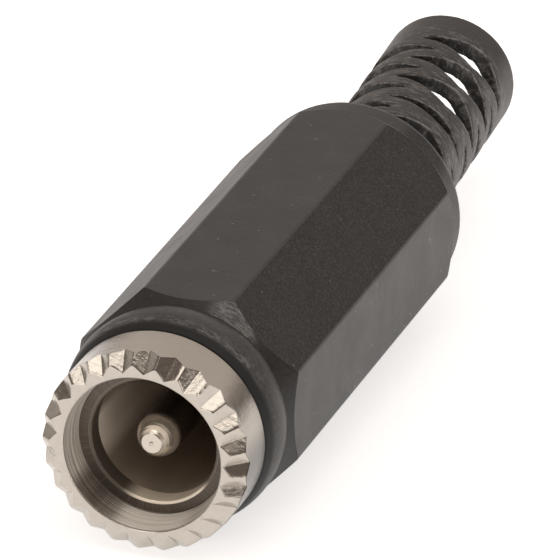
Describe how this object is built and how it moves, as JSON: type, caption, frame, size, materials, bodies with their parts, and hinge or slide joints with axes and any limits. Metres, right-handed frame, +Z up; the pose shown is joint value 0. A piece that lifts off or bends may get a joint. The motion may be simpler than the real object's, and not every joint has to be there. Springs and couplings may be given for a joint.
{
  "type": "in-line dc power socket",
  "caption": "In-line DC power socket with a serrated plated barrel around a centre pin and an octagonal moulded cover ending in a slotted cable strain relief.",
  "frame": {"origin": "centre of the bounding box on the surface that the part lies on", "axes": "+Y along the axis from the mouth to the cable end, +Z up from the flat that the cover lies on"},
  "size_m": [0.011, 0.0464, 0.011],
  "materials": {
    "black_moulding": "satin",
    "nickel_plate": "nickel plated",
    "pin_plate": "nickel plated",
    "insulator_moulding": "matt",
    "tag_plate": "tin plated"
  },
  "bodies": {
    "root": {"cover": "black_moulding", "front_barrel": "nickel_plate", "centre_pin": "pin_plate", "insulator": "insulator_moulding", "pin_tag": "tag_plate", "sleeve_contact": "tag_plate"}
  },
  "joints": []
}
